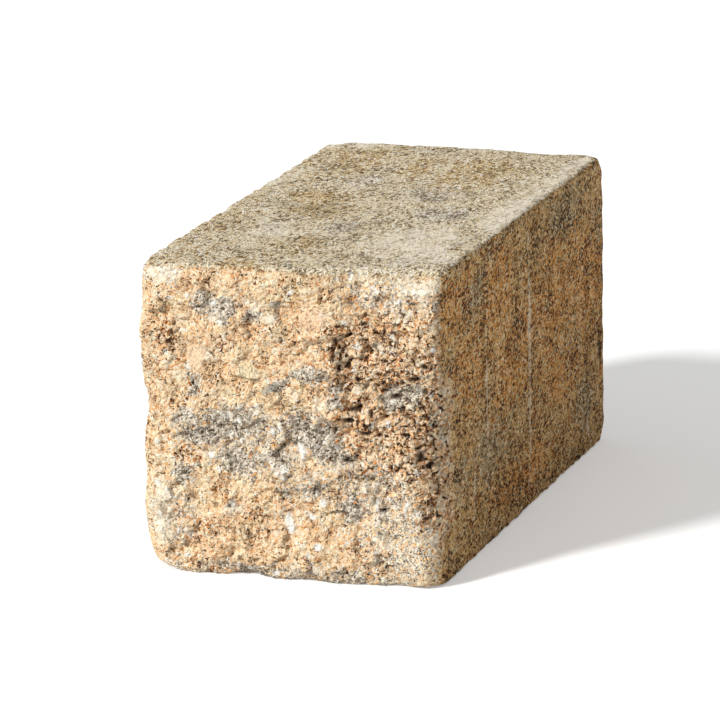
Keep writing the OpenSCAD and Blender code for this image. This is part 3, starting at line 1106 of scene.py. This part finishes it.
class Graph:
    """Nodes of one material, made and wired in short calls."""

    def __init__(self, name: str, drawn_out: float = 1.0) -> None:
        """Starts an empty material whose patterns read Object coordinates.

        Args:
            name: The material's name.
            drawn_out: Factor by which the patterns are drawn out along the depth.
        """
        self.material = bpy.data.materials.new(name)
        self.material.use_nodes = True
        self.tree = self.material.node_tree
        self.tree.nodes.clear()
        whole = self.node("TexCoord").outputs["Object"]
        self.place = self.node("Mapping", Vector=whole, Scale=(1.0, 1 / drawn_out, 1.0)).outputs["Vector"]
        self.ragged = self.place

    def node(self, kind: str, **inputs: object) -> bpy.types.Node:
        """Makes a shader node and wires its inputs.

        Args:
            kind: The node's type, without its prefix.
            **inputs: Sockets or plain values by input name, with underscores for spaces.

        Returns:
            The node.
        """
        made = self.tree.nodes.new("ShaderNode" + kind)
        for name, value in inputs.items():
            self.wire(value, made.inputs[name.replace("_", " ")])
        return made

    def wire(self, value: object, socket: Socket) -> None:
        """Links a socket to another, or sets it to a plain value.

        Args:
            value: The other socket, or a number, vector or colour of three numbers.
            socket: The input.
        """
        if isinstance(value, Socket):
            self.tree.links.new(value, socket)
        elif socket.type == "RGBA":
            socket.default_value = (*value, 1.0)
        else:
            socket.default_value = value

    def scaled(self, place: Socket, size: float) -> Socket:
        """Coordinates counted in pattern sizes, given in millimetres."""
        return self.node("Mapping", Vector=place, Scale=[1 / (size * MM)] * 3).outputs["Vector"]

    def roughen(self, size: float, reach: float) -> None:
        """Makes the outlines of all grains ragged by shifting their coordinates with noise.

        Args:
            size: Size of the noise in millimetres.
            reach: How far it shifts, in millimetres.
        """
        noise = self.node("TexNoise", Vector=self.scaled(self.place, size), Scale=1.0)
        shift = self.node("VectorMath")
        shift.operation = "MULTIPLY_ADD"
        self.wire(noise.outputs["Color"], shift.inputs[0])
        shift.inputs[1].default_value = [2 * reach * MM] * 3
        self.wire(self.place, shift.inputs[2])
        self.ragged = shift.outputs["Vector"]

    def noise(self, size: float, detail: float, tall: float = 1.0, wide: float = 1.0) -> Socket:
        """Cloudy noise from 0 to 1.

        Args:
            size: Its size in millimetres.
            detail: How many finer octaves it has.
            tall: Factor by which it is drawn out along the height.
            wide: Factor by which it is drawn out along the width.

        Returns:
            The noise.
        """
        scale = (1 / (wide * size * MM), 1 / (size * MM), 1 / (tall * size * MM))
        place = self.node("Mapping", Vector=self.place, Scale=scale).outputs["Vector"]
        return self.node("TexNoise", Vector=place, Scale=1.0, Detail=detail).outputs["Fac"]

    def drift(self, size: float, detail: float) -> Socket:
        """Cloudy noise about 0, of a size in millimetres."""
        return self.math("SUBTRACT", self.noise(size, detail), 0.5)

    def grains(self, size: float) -> tuple[Socket, Socket, Socket]:
        """Grains as the cells of random centres.

        Args:
            size: Their size in millimetres.

        Returns:
            Distance from the middle of the nearest grain, and two numbers of its own for each grain.
        """
        cells = self.node("TexVoronoi", Vector=self.scaled(self.ragged, size), Scale=1.0)
        split = self.node("SeparateColor", Color=cells.outputs["Color"])
        return cells.outputs["Distance"], split.outputs["Red"], split.outputs["Green"]

    def seams(self, size: float) -> Socket:
        """Seams between clumps.

        Args:
            size: The clumps' size in millimetres.

        Returns:
            Distance from the nearest seam, in that size.
        """
        cells = self.node("TexVoronoi", Vector=self.scaled(self.ragged, size), Scale=1.0)
        cells.feature = "DISTANCE_TO_EDGE"
        return cells.outputs["Distance"]

    def attribute(self, name: str) -> bpy.types.Node:
        """Reads an attribute that the skin carries.

        Args:
            name: The attribute's name.

        Returns:
            The node that reads it.
        """
        node = self.node("Attribute")
        node.attribute_name = name
        return node

    def weight(self, weight: Weight) -> Socket:
        """A weight that the skin carries."""
        return self.attribute(weight.value).outputs["Fac"]

    def span(self, value: Socket, ends: Pair) -> Socket:
        """0 to 1 as a value goes from one end to the other."""
        return self.node("MapRange", Value=value, From_Min=ends[0], From_Max=ends[1]).outputs["Result"]

    def math(self, operation: str, *values: object) -> Socket:
        """One sum of two or three values.

        Args:
            operation: The sum's name.
            *values: Sockets or numbers.

        Returns:
            The result.
        """
        node = self.node("Math")
        node.operation = operation
        for value, socket in zip(values, node.inputs):
            self.wire(value, socket)
        return node.outputs["Value"]

    def times(self, *values: object) -> Socket:
        """The product of values."""
        return functools.reduce(functools.partial(self.math, "MULTIPLY"), values)

    def total(self, *terms: tuple[Socket, float]) -> Socket:
        """The sum of values, each times its factor."""
        parts = [self.times(value, factor) for value, factor in terms]
        return functools.reduce(functools.partial(self.math, "ADD"), parts)

    def less(self, value: Socket, share: float = 1.0) -> Socket:
        """What a share of a value leaves of 1."""
        return self.math("SUBTRACT", 1.0, self.times(value, share))

    def mix(self, share: object, a: object, b: object, how: str = "MIX") -> Socket:
        """Two colours mixed.

        Args:
            share: How much of the second there is, from 0 to 1.
            a: The first colour.
            b: The second colour.
            how: The way of mixing.

        Returns:
            The mixed colour.
        """
        node = self.node("Mix")
        node.data_type = "RGBA"
        node.blend_type = how
        self.wire(share, node.inputs[0])
        self.wire(a, node.inputs[6])
        self.wire(b, node.inputs[7])
        return node.outputs[2]

    def choice(self, share: object, a: object, b: object) -> Socket:
        """Two values mixed.

        Args:
            share: How much of the second there is, from 0 to 1.
            a: The first value.
            b: The second value.

        Returns:
            The mixed value.
        """
        node = self.node("Mix")
        self.wire(share, node.inputs[0])
        self.wire(a, node.inputs[2])
        self.wire(b, node.inputs[3])
        return node.outputs[0]

    def ramp(self, share: Socket, stops: Blend) -> Socket:
        """A colour picked along a ramp.

        Args:
            share: The place on the ramp, from 0 to 1.
            stops: Places on the ramp with their colours.

        Returns:
            The colour.
        """
        node = self.node("ValToRGB", Fac=share)
        while len(node.color_ramp.elements) < len(stops):
            node.color_ramp.elements.new(1.0)
        for element, (place, colour) in zip(node.color_ramp.elements, stops):
            element.position = place
            element.color = (*colour, 1.0)
        return node.outputs["Color"]


@dataclass(frozen=True)
class Speckle:
    """Patterns of the grains: a value from dark to pale, a pick from 0 to 1, and a height for the bump."""

    value: Socket
    pick: Socket
    height: Socket


@dataclass(frozen=True)
class ConcreteFinish:
    """Matt dry-cast concrete in a tan, rust and charcoal blend.

    Each blend goes from its darkest grains to its palest. Sizes are in millimetres. A span gives the values
    of a pattern at which its mask is 0 and 1, a cover how fully the mask's colour hides what is under it, and
    a dent how far the mask lowers the bump.
    """

    tan: Blend = (
        (0.10, (0.60, 0.325, 0.130)), (0.26, (0.88, 0.585, 0.302)), (0.40, (0.98, 0.720, 0.428)),
        (0.54, (1.0, 0.805, 0.522)), (0.72, (1.0, 0.885, 0.640)), (0.90, (1.0, 0.955, 0.83)),
    )
    peach: Blend = (
        (0.10, (0.64, 0.280, 0.098)), (0.26, (0.95, 0.545, 0.258)), (0.40, (1.0, 0.660, 0.372)),
        (0.54, (1.0, 0.755, 0.477)), (0.72, (1.0, 0.850, 0.605)), (0.90, (1.0, 0.945, 0.80)),
    )
    rust: Blend = (
        (0.10, (0.29, 0.066, 0.015)), (0.26, (0.85, 0.380, 0.133)), (0.40, (1.0, 0.655, 0.348)),
        (0.54, (1.0, 0.790, 0.505)), (0.72, (1.0, 0.890, 0.690)), (0.90, (1.0, 0.97, 0.89)),
    )
    golden: Blend = (
        (0.08, (0.12, 0.056, 0.016)), (0.26, (0.37, 0.215, 0.075)), (0.42, (0.63, 0.430, 0.195)),
        (0.56, (0.79, 0.590, 0.320)), (0.74, (0.92, 0.770, 0.50)), (0.95, (0.99, 0.93, 0.76)),
    )
    charcoal: Blend = (
        (0.05, (0.037, 0.029, 0.020)), (0.24, (0.205, 0.167, 0.123)), (0.40, (0.49, 0.414, 0.314)),
        (0.55, (0.745, 0.643, 0.497)), (0.72, (0.97, 0.873, 0.715)), (0.92, (1.0, 0.97, 0.89)),
    )
    moulded: Blend = (
        (0.12, (0.060, 0.028, 0.009)), (0.28, (0.235, 0.122, 0.042)), (0.42, (0.48, 0.275, 0.100)),
        (0.56, (0.68, 0.402, 0.152)), (0.74, (0.88, 0.570, 0.250)), (0.95, (1.0, 0.80, 0.50)),
    )
    russet: Blend = (
        (0.12, (0.080, 0.023, 0.004)), (0.28, (0.29, 0.104, 0.023)), (0.42, (0.60, 0.255, 0.062)),
        (0.56, (0.79, 0.370, 0.102)), (0.74, (0.93, 0.540, 0.192)), (0.95, (1.0, 0.76, 0.44)),
    )
    ashen: Blend = (
        (0.12, (0.050, 0.031, 0.013)), (0.28, (0.175, 0.117, 0.055)), (0.42, (0.365, 0.253, 0.127)),
        (0.56, (0.52, 0.372, 0.195)), (0.74, (0.72, 0.540, 0.300)), (0.95, (0.92, 0.77, 0.51)),
    )
    top: Blend = (
        (0.08, (0.17, 0.098, 0.040)), (0.26, (0.48, 0.345, 0.185)), (0.42, (0.77, 0.620, 0.390)),
        (0.56, (0.89, 0.750, 0.515)), (0.74, (0.96, 0.860, 0.655)), (0.95, (1.0, 0.96, 0.86)),
    )
    slurry: Blend = (
        (0.05, (0.52, 0.440, 0.310)), (0.24, (0.68, 0.585, 0.430)), (0.42, (0.80, 0.705, 0.540)),
        (0.58, (0.87, 0.775, 0.610)), (0.76, (0.92, 0.840, 0.685)), (0.95, (0.97, 0.91, 0.79)),
    )
    # Colours of painted shade: near-black for pits, marks, cracks and pores, a warm one round marks and
    # cracks, and a warm tint that multiplies the break's low places.
    shade_dark: Triple = (0.034, 0.012, 0.004)
    warm_shade: Triple = (0.40, 0.155, 0.045)
    deep: Triple = (0.60, 0.38, 0.22)
    drawn_out: float = 1.8
    ragged_size: float = 2.0
    ragged_reach: float = 0.7
    sand: float = 0.8
    sand_span: Pair = (0.28, 0.72)
    broad: float = 7.0
    patch: float = 1.7
    cloud_span: Pair = (0.30, 0.70)
    dust: float = 0.65
    fine: float = 1.4
    fine_shares: Pair = (0.40, 0.22)
    coarse: float = 2.8
    coarse_shares: Pair = (0.0, 0.08)
    warm_patch: float = 11.0
    warm_span: Pair = (0.36, 0.54)
    streak: float = 5.0
    streak_tall: float = 14.0
    hollow_cover: float = 0.22
    fray: float = 3.0
    wisp: float = 9.0
    upper_span: Pair = (0.40, 0.60)
    smear_span: Pair = (0.35, 0.75)
    smear_cover: Triple = (0.50, 0.85, 0.65)
    mark: float = 0.85
    mark_tall: float = 2.2
    mark_wide: float = 2.4
    mark_cluster: float = 7.0
    warm_shade_span: Pair = (0.385, 0.335)
    warm_shade_cover: float = 0.55
    core_span: Pair = (0.325, 0.300)
    core_cover: float = 0.95
    mark_span: Pair = (0.37, 0.28)
    mark_dent: float = 0.7
    clump: float = 5.0
    seam_wander: float = 2.2
    seam_rim_span: Pair = (0.0, -0.08)
    seam_rim_cover: float = 0.6
    crack_span: Pair = (-0.07, -0.105)
    crack_cover: float = 0.92
    crack_dent: float = 0.8
    pore: float = 1.4
    pore_cluster: float = 14.0
    pore_span: Pair = (0.415, 0.375)
    pore_cover: Pair = (0.88, 0.65)
    pore_dent: float = 0.9
    pit_shade_cover: float = 0.92
    roughness: float = 0.92
    shine: float = 0.25
    bump_mm: float = 1.1

    def speckle(self, g: Graph, split: Socket) -> Speckle:
        """Makes the value and the pick of every grain.

        The value is a sum of fine noise, broad noise and a number of its own for each speck of dust. Some
        fine and coarse grains take a number of their own instead; their shares on the moulded faces and in
        the break differ.

        Args:
            g: The material's nodes.
            split: How much a place belongs to the break.

        Returns:
            The patterns.
        """
        sand = g.span(g.noise(self.sand, 3.0), self.sand_span)
        broad = g.span(g.noise(self.broad, 2.0), self.cloud_span)
        patchy = g.span(g.noise(self.patch, 2.0), self.cloud_span)
        _, dust_own, _ = g.grains(self.dust)
        fine_near, fine_own, fine_pick = g.grains(self.fine)
        coarse_near, coarse_own, coarse_pick = g.grains(self.coarse)
        is_fine = g.math("LESS_THAN", fine_pick, g.choice(split, *self.fine_shares))
        is_coarse = g.math("LESS_THAN", coarse_pick, g.choice(split, *self.coarse_shares))
        value = g.total((sand, 0.22), (broad, 0.18), (dust_own, 0.60))
        stony = g.math("MULTIPLY_ADD", coarse_own, 0.65, 0.35)
        value = g.choice(is_coarse, g.choice(g.times(is_fine, 0.7), value, fine_own), stony)
        pick = g.choice(is_coarse, g.choice(is_fine, patchy, fine_own), g.times(coarse_pick, 12.0))
        return Speckle(value, pick, g.total((fine_near, -0.4), (coarse_near, -0.3), (sand, 0.6)))

    def moulding(self, g: Graph, grain: Speckle, upper: Socket) -> Socket:
        """Colour of the moulded faces: tan on top, and brown, russet and ashen drag streaks on the sides.

        Args:
            g: The material's nodes.
            grain: The patterns.
            upper: How much a place belongs to the top.

        Returns:
            The colour.
        """
        streak = g.math("SUBTRACT", g.noise(self.streak, 2.0, self.streak_tall), 0.5)
        dragged = g.total((grain.value, 1.0), (streak, 0.35))
        rusted = g.math("LESS_THAN", grain.pick, g.weight(Weight.RUST))
        sooty = g.math("LESS_THAN", g.less(grain.pick), g.weight(Weight.CHARCOAL))
        side = g.mix(rusted, g.ramp(dragged, self.moulded), g.ramp(dragged, self.russet))
        side = g.mix(sooty, side, g.ramp(dragged, self.ashen))
        above = g.mix(g.times(rusted, 0.9), g.ramp(grain.value, self.top), g.ramp(grain.value, self.golden))
        above = g.mix(g.times(sooty, 0.8), above, g.ramp(grain.value, self.charcoal))
        return g.mix(upper, side, above)

    def breakage(self, g: Graph, grain: Speckle) -> Socket:
        """Colour of the break: tan and peach patches, with rust and charcoal grains where their weights say.

        Args:
            g: The material's nodes.
            grain: The patterns.

        Returns:
            The colour.
        """
        warm = g.span(g.noise(self.warm_patch, 2.0), self.warm_span)
        colour = g.mix(warm, g.ramp(grain.value, self.tan), g.ramp(grain.value, self.peach))
        rusted = g.math("LESS_THAN", grain.pick, g.weight(Weight.RUST))
        colour = g.mix(rusted, colour, g.ramp(grain.value, self.rust))
        sooty = g.math("LESS_THAN", g.less(grain.pick), g.weight(Weight.CHARCOAL))
        return g.mix(sooty, colour, g.ramp(grain.value, self.charcoal))

    def marked(self, g: Graph, colour: Socket, broken: Socket) -> tuple[Socket, Socket]:
        """Paints shade into the break as small black hollows in clusters, each with a rim of warm painted
        shade.

        The marks are where both an upright and a level noise are low.

        Args:
            g: The material's nodes.
            colour: The colour so far.
            broken: Where the break lies bare.

        Returns:
            The colour, and where the bump sinks.
        """
        upright = g.noise(self.mark, 3.0, tall=self.mark_tall)
        both = g.math("MINIMUM", upright, g.noise(self.mark, 3.0, wide=self.mark_wide))
        marks = g.total((both, 1.0), (g.drift(self.mark_cluster, 2.0), 0.30), (g.weight(Weight.RUST), -0.03))
        # Painted shade: a warm rim round each mark, and a near-black core.
        warm_shade_rim = g.times(g.span(marks, self.warm_shade_span), broken, g.less(g.weight(Weight.CHARCOAL)))
        colour = g.mix(g.times(warm_shade_rim, self.warm_shade_cover), colour, self.warm_shade)
        cores = g.times(g.span(marks, self.core_span), broken)
        colour = g.mix(g.times(cores, self.core_cover), colour, self.shade_dark)
        return colour, g.times(g.span(marks, self.mark_span), broken)

    def cracked(self, g: Graph, colour: Socket, broken: Socket) -> tuple[Socket, Socket]:
        """Marks the break with cracks, most where the rust weight is high: broken stretches of the seams
        between clumps, painted near-black as their shade with a rim of warm painted shade.

        Args:
            g: The material's nodes.
            colour: The colour so far.
            broken: Where the break lies bare.

        Returns:
            The colour, and where the bump sinks.
        """
        wander = g.drift(self.seam_wander, 3.0)
        seam = g.total((g.seams(self.clump), 1.0), (wander, 0.7), (g.weight(Weight.RUST), -0.09))
        # Painted shade: a warm rim along each crack, and a near-black crack.
        rim = g.times(g.span(seam, self.seam_rim_span), broken, g.less(g.weight(Weight.CHARCOAL)))
        colour = g.mix(g.times(rim, self.seam_rim_cover), colour, self.warm_shade)
        crack = g.times(g.span(seam, self.crack_span), broken)
        return g.mix(g.times(crack, self.crack_cover), colour, self.shade_dark), crack

    def pored(self, g: Graph, colour: Socket, skin: Socket, upper: Socket) -> tuple[Socket, Socket]:
        """Paints shade into the pores of the moulded skin, in clusters, darker on the sides than on the top.

        Args:
            g: The material's nodes.
            colour: The colour so far.
            skin: Where the moulded skin lies bare.
            upper: How much a place belongs to the top.

        Returns:
            The colour, and where the bump sinks.
        """
        pitted = g.total((g.noise(self.pore, 2.0), 1.0), (g.drift(self.pore_cluster, 3.0), 0.35))
        # Painted shade: the pores are darkened.
        pores = g.times(g.span(pitted, self.pore_span), skin)
        return g.mix(g.times(pores, g.choice(upper, *self.pore_cover)), colour, self.shade_dark), pores

    def material(self) -> bpy.types.Material:
        """Builds the material.

        The break and the moulded faces have colours of their own, painted shade darkens the break's low
        places, and pale slurry lies over both. Marks and cracks paint shade into the break, and pores into
        the skin. Stones and the painted shade of pits come last, and the same patterns give the bump.

        Returns:
            The material.
        """
        g = Graph("split_concrete", self.drawn_out)
        g.roughen(self.ragged_size, self.ragged_reach)
        split = g.weight(Weight.SPLIT)
        grain = self.speckle(g, split)
        ragged = g.times(g.drift(self.fray, 3.0), 1.3)
        wispy = g.total((ragged, 1.0), (g.drift(self.wisp, 2.0), 1.4))
        upper = g.span(g.math("ADD", g.weight(Weight.TOP), ragged), self.upper_span)
        smear = g.span(g.math("ADD", g.weight(Weight.PALE), wispy), self.smear_span)

        colour = g.mix(split, self.moulding(g, grain, upper), self.breakage(g, grain))
        # Painted shade: the break's low and sunk places are multiplied by a warm tint.
        colour = g.mix(g.times(g.weight(Weight.HOLLOW_SHADE), self.hollow_cover), colour, self.deep, "MULTIPLY")
        on_side, on_top, on_break = self.smear_cover
        cover = g.choice(split, g.choice(upper, on_side, on_top), on_break)
        colour = g.mix(g.times(smear, cover), colour, g.ramp(grain.value, self.slurry))
        broken = g.times(split, g.less(smear, 0.8))
        colour, dents = self.marked(g, colour, broken)
        colour, crack = self.cracked(g, colour, broken)
        colour, pores = self.pored(g, colour, g.times(g.less(broken), g.less(smear, 0.65)), upper)
        stone = g.attribute("stone")
        colour = g.mix(stone.outputs["Alpha"], colour, stone.outputs["Color"])
        # Painted shade of pits, crevices and the side's crack, with the top's darker places.
        colour = g.mix(g.times(g.weight(Weight.PIT_SHADE_AND_DARK_TOP), self.pit_shade_cover), colour, self.shade_dark)

        height = g.times(grain.height, g.less(smear, 0.6))
        sunk = (pores, -self.pore_dent), (dents, -self.mark_dent), (crack, -self.crack_dent)
        height = g.total((height, 1.0), *sunk)
        bump = g.node("Bump", Height=height, Strength=1.0, Distance=self.bump_mm * MM)
        shader = g.node("BsdfPrincipled", Base_Color=colour, Normal=bump.outputs["Normal"])
        shader.inputs["Roughness"].default_value = self.roughness
        shader.inputs["Specular IOR Level"].default_value = self.shine
        g.node("OutputMaterial", Surface=shader.outputs["BSDF"])
        return g.material


@dataclass
class DressedBlock:
    """Builds the block's piece from its skin and dresses it."""

    name: str = "split_face_block"
    node: str = "block"
    slot: str = "concrete"
    finish: ConcreteFinish = field(default_factory=ConcreteFinish)

    def build(self) -> bpy.types.Object:
        """Makes the mesh in the solid's place.

        Returns:
            The block's object, with the weights of its finish.
        """
        low, high = (np.array(corner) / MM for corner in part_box(self.node))
        block = SplitBlock(low, high)
        skin = block.shape()
        points, outward = np.concatenate(skin.points), np.concatenate(skin.outward)
        concrete = BrokenConcrete(points, outward, low, high)
        points = np.clip(points + outward * concrete.relief()[:, None], low, high)
        columns, rows = (cells + 1 for cells in block.face_cells)
        concrete.shade_sunk_places(points[:rows * columns, 1].reshape(rows, columns))
        faces = itertools.chain.from_iterable(part.tolist() for part in skin.quads + skin.triangles)
        mesh = bpy.data.meshes.new(self.name)
        mesh.from_pydata((points * MM).tolist(), [], list(faces))
        mesh.shade_smooth()
        for weight, values in concrete.weights().items():
            carried = mesh.attributes.new(weight.value, "FLOAT", "POINT")
            carried.data.foreach_set("value", values.astype(np.float32))
        tint = mesh.attributes.new("stone", "FLOAT_COLOR", "POINT")
        tint.data.foreach_set("color", concrete.stone_tint().astype(np.float32).ravel())
        block_object = bpy.data.objects.new(self.name, mesh)
        bpy.context.scene.collection.objects.link(block_object)
        return block_object

    def dress(self, block_object: bpy.types.Object) -> None:
        """Gives the piece its finish and its body, and hides the solid of the node it stands for.

        Args:
            block_object: The block's object.
        """
        block_object.data.materials.append(self.finish.material())
        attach(block_object, "root")
        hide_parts(self.node)


@dataclass
class Studio:
    """A pale floor, a soft key from the upper left, weak fill from all round, and the camera.

    Lengths are in metres, and the camera's lens and frame in pixels of the photograph.
    """

    floor_colour: Triple = (0.90, 0.90, 0.89)
    floor_size: float = 60.0
    floor_glow: float = 0.30
    world_light: float = 0.38
    key_from: Triple = (-0.46, -0.70, 0.55)
    key_light: float = 3.2
    key_spread: float = 8.0
    eye: Triple = (0.7692, -2.3527, 0.6920)
    gaze: Triple = (-0.3055, 0.9208, -0.2424)
    roll: float = -1.025
    lens_px: float = 5120.7
    frame_px: float = 720.0
    sensor_mm: float = 36.0

    def lay_floor(self) -> None:
        """Lays the floor, a little brighter to the camera than to the block."""
        half = self.floor_size / 2
        corners = [(-half, -half, 0), (half, -half, 0), (half, half, 0), (-half, half, 0)]
        mesh = bpy.data.meshes.new("floor")
        mesh.from_pydata(corners, [], [(0, 1, 2, 3)])
        floor = bpy.data.objects.new("floor", mesh)
        bpy.context.scene.collection.objects.link(floor)
        g = Graph("studio_floor")
        seen = g.node("LightPath").outputs["Is Camera Ray"]
        glow = g.node("Emission", Color=(1, 1, 1), Strength=g.times(seen, self.floor_glow))
        both = g.node("AddShader")
        g.wire(g.node("BsdfDiffuse", Color=self.floor_colour).outputs["BSDF"], both.inputs[0])
        g.wire(glow.outputs["Emission"], both.inputs[1])
        g.node("OutputMaterial", Surface=both.outputs["Shader"])
        mesh.materials.append(g.material)

    def light(self) -> None:
        """Hangs the key and sets the world: white to the camera, a weak even light to the block."""
        lamp = bpy.data.lights.new("key", "SUN")
        lamp.energy = self.key_light
        lamp.angle = math.radians(self.key_spread)
        key = bpy.data.objects.new("key", lamp)
        key.matrix_world = self.looking(np.array(self.key_from), -np.array(self.key_from), 0.0)
        bpy.context.scene.collection.objects.link(key)
        world = bpy.data.worlds.new("studio")
        bpy.context.scene.world = world
        world.use_nodes = True
        nodes, links = world.node_tree.nodes, world.node_tree.links
        path = nodes.new("ShaderNodeLightPath")
        level = nodes.new("ShaderNodeMapRange")
        level.inputs["To Min"].default_value = self.world_light
        level.inputs["To Max"].default_value = 1.0
        links.new(path.outputs["Is Camera Ray"], level.inputs["Value"])
        links.new(level.outputs["Result"], nodes["Background"].inputs["Strength"])
        nodes["Background"].inputs["Color"].default_value = (1, 1, 1, 1)

    @staticmethod
    def looking(eye: Array, gaze: Array, roll: float) -> Matrix:
        """The placing of a camera or lamp.

        Args:
            eye: Where it is.
            gaze: The way it looks.
            roll: Its turn about that way, in degrees.

        Returns:
            The matrix that puts it there.
        """
        ahead = gaze / np.linalg.norm(gaze)
        right = np.cross(ahead, (0, 0, 1))
        right /= np.linalg.norm(right)
        up = np.cross(right, ahead)
        c, s = math.cos(math.radians(roll)), math.sin(math.radians(roll))
        axes = np.column_stack((c * right + s * up, c * up - s * right, -ahead))
        return Matrix.LocRotScale(eye.tolist(), Matrix(axes.tolist()), None)

    def shoot(self) -> None:
        """Sets up the camera at the photograph's angle."""
        camera = bpy.data.cameras.new("camera")
        camera.sensor_width = self.sensor_mm
        camera.lens = self.lens_px / self.frame_px * camera.sensor_width
        holder = bpy.data.objects.new("camera", camera)
        holder.matrix_world = self.looking(np.array(self.eye), np.array(self.gaze), self.roll)
        bpy.context.scene.collection.objects.link(holder)
        bpy.context.scene.camera = holder
        bpy.context.scene.view_settings.view_transform = "Standard"


def main() -> None:
    """Builds the studio and the block."""
    logging.basicConfig(level=logging.INFO, format="%(name)s: %(message)s")
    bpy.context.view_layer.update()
    studio = Studio()
    studio.lay_floor()
    studio.light()
    studio.shoot()
    dressed = DressedBlock()
    piece = dressed.build()
    dressed.dress(piece)
    log.info("%s: %d faces", piece.name, len(piece.data.polygons))


if __name__ == "__main__":
    main()
